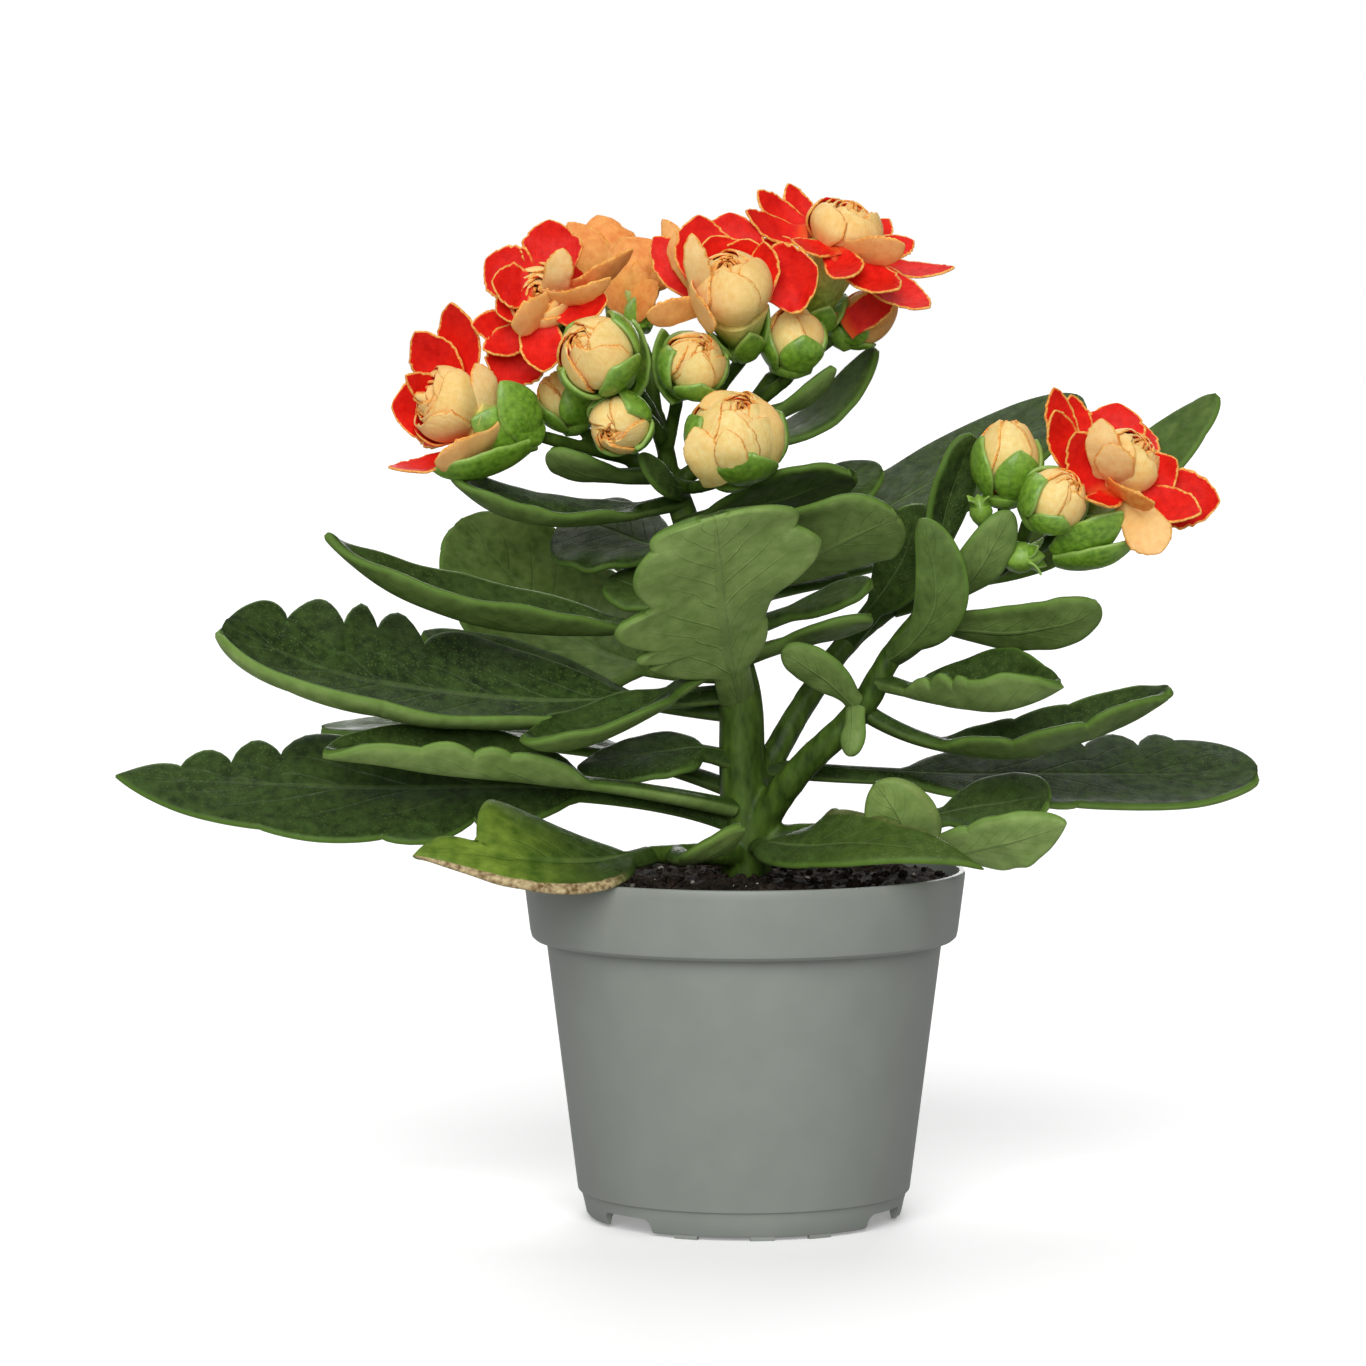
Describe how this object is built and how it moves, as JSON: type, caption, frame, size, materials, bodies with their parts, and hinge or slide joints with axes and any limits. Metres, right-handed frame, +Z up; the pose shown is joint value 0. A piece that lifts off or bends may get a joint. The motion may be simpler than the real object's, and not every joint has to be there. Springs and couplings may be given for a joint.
{
  "type": "potted kalanchoe",
  "caption": "Double-flowered kalanchoe in a grey plastic nursery pot: fleshy scalloped leaves on a branching stem, red open flowers with cream hearts, and cream buds.",
  "frame": {"origin": "middle of the pot's foot, on the surface it stands on", "axes": "+Z up; +X to the right in the picture; the front of the plant looks towards -Y"},
  "size_m": [0.155, 0.0813, 0.1387],
  "materials": {
    "pot_plastic": "satin moulded polypropylene",
    "peat": "moist crumbled peat, rough",
    "stem_green": "smooth fleshy plant skin",
    "leaf_green": "waxy satin leaf skin",
    "yellowing_leaf": "waxy leaf skin with a dry beige edge",
    "calyx_green": "smooth fresh plant skin",
    "petal_red": "soft matte petals",
    "petal_cream": "soft matte petals"
  },
  "bodies": {
    "root": {"pot": "pot_plastic", "soil": "peat", "stem": "stem_green", "leaf_low_left_long": "leaf_green", "leaf_left_broad": "leaf_green", "leaf_left_folded": "leaf_green", "leaf_left_narrow": "leaf_green", "leaf_back_left_round": "leaf_green", "leaf_left_trough": "leaf_green", "leaf_head_left": "leaf_green", "leaf_back_left_grey": "leaf_green", "leaf_front_big": "leaf_green", "leaf_front_right_lower": "leaf_green", "leaf_front_right_upper": "leaf_green", "leaf_behind_right": "leaf_green", "leaf_back_right_large": "leaf_green", "leaf_right_far_top": "leaf_green", "leaf_behind_upright": "leaf_green", "leaf_upright_pale": "leaf_green", "leaf_upright_dark": "leaf_green", "leaf_upright_small": "leaf_green", "leaf_right_smooth": "leaf_green", "leaf_right_toothed": "leaf_green", "leaf_right_trough": "leaf_green", "leaf_right_long": "leaf_green", "leaf_rim_right": "leaf_green", "leaf_right_round": "leaf_green", "leaf_right_low_pale": "leaf_green", "leaf_right_low_dark": "leaf_green", "leaf_yellowing": "yellowing_leaf", "leaf_front_small": "leaf_green", "leaf_left_drooping": "leaf_green", "leaf_left_small_trough": "leaf_green", "leaf_back_left_low": "leaf_green", "leaf_back_left_high": "leaf_green", "leaf_back_right_high": "leaf_green", "main_head_stalks": "calyx_green", "side_head_stalks": "calyx_green", "bloom_far_left_petals": "petal_red", "bloom_far_left_heart": "petal_cream", "bloom_left_petals": "petal_red", "bloom_left_heart": "petal_cream", "bloom_rear_petals": "petal_red", "bloom_rear_heart": "petal_cream", "bloom_middle_petals": "petal_red", "bloom_middle_heart": "petal_cream", "bloom_right_petals": "petal_red", "bloom_right_heart": "petal_cream", "bloom_side_petals": "petal_red", "bloom_side_heart": "petal_cream", "bud_left_large": "petal_cream", "bud_middle_upper": "petal_cream", "bud_left_lower": "petal_cream", "bud_middle_low": "petal_cream", "bud_right_upright": "petal_cream", "bud_left_rear": "petal_cream", "bud_right_red": "petal_red", "bud_side_upper": "petal_cream", "bud_side_lower": "petal_cream"}
  },
  "joints": []
}
